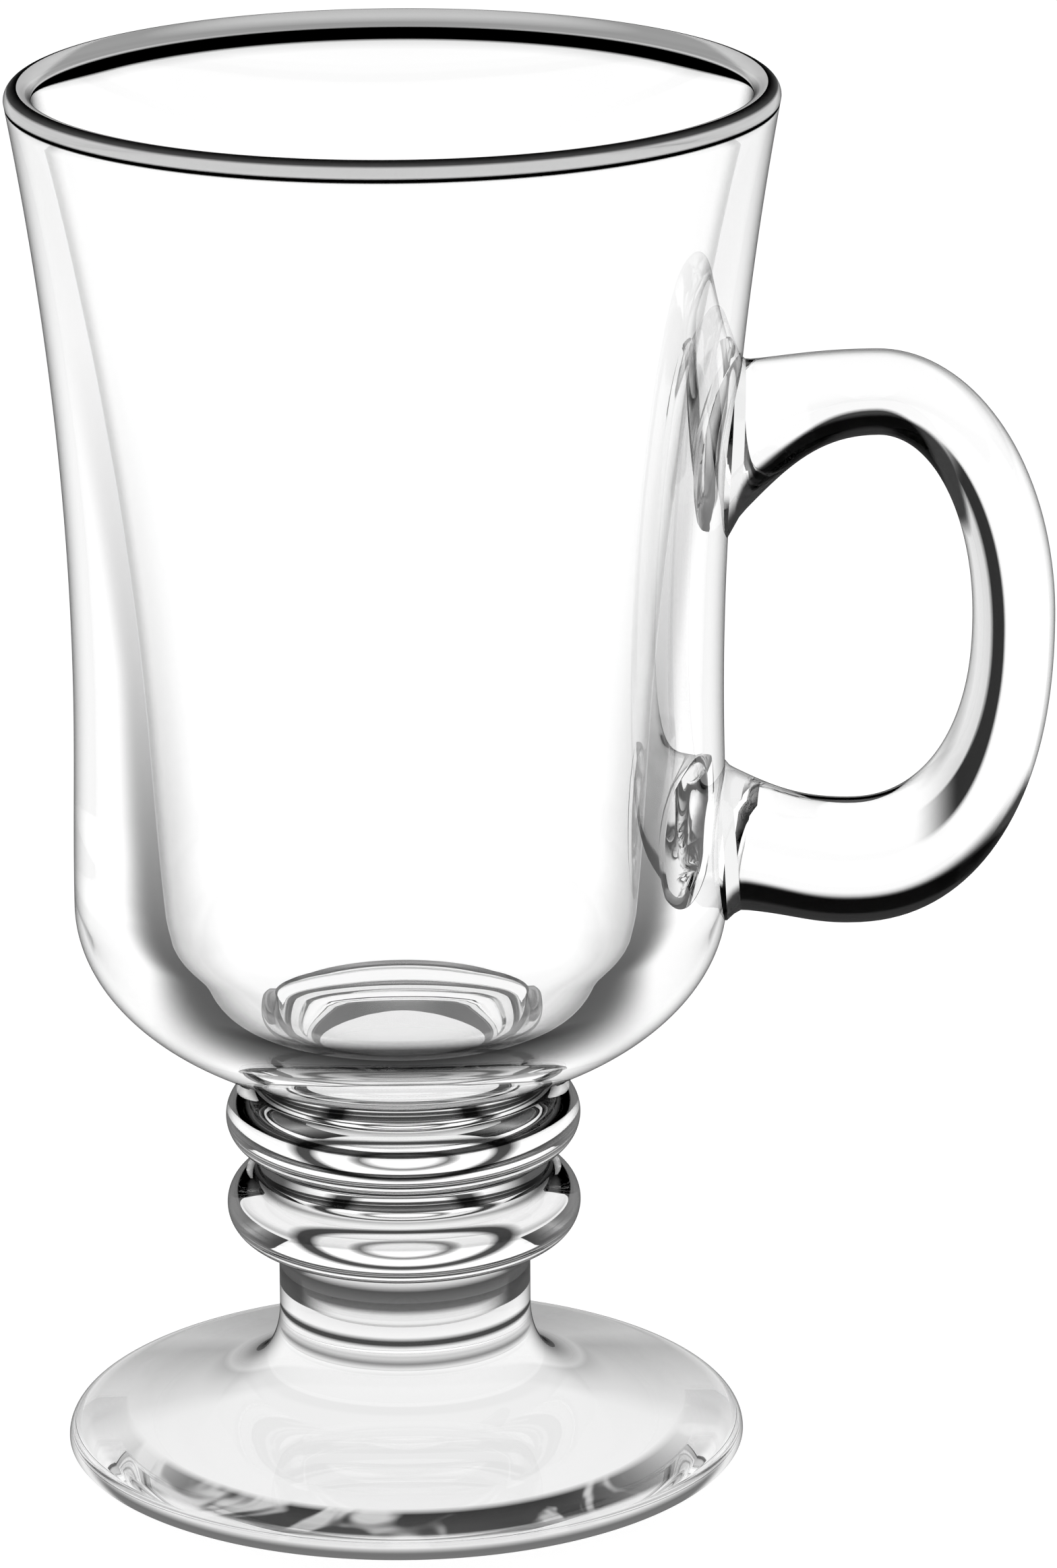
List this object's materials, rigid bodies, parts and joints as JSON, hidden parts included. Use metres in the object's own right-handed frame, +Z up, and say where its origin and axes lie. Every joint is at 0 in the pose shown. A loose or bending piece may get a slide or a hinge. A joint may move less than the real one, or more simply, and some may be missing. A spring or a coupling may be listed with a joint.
{
  "type": "irish coffee glass mug",
  "caption": "Clear glass mug for hot drinks: flared bowl on a short stem with ring knops, a round foot and one side handle.",
  "frame": {"origin": "the middle of the foot's resting ring, on the surface that the mug stands on", "axes": "+Z up along the mug's axis, +X out through the handle, +Y to the right-hand side as seen from the handle's far side"},
  "size_m": [0.1056, 0.0774, 0.147],
  "materials": {
    "bowl_glass": "fire-polished clear glass",
    "stem_glass": "solid clear glass",
    "foot_glass": "solid clear glass",
    "handle_glass": "solid clear glass"
  },
  "bodies": {
    "root": {"bowl": "bowl_glass", "stem": "stem_glass", "foot": "foot_glass", "handle": "handle_glass"}
  },
  "joints": []
}
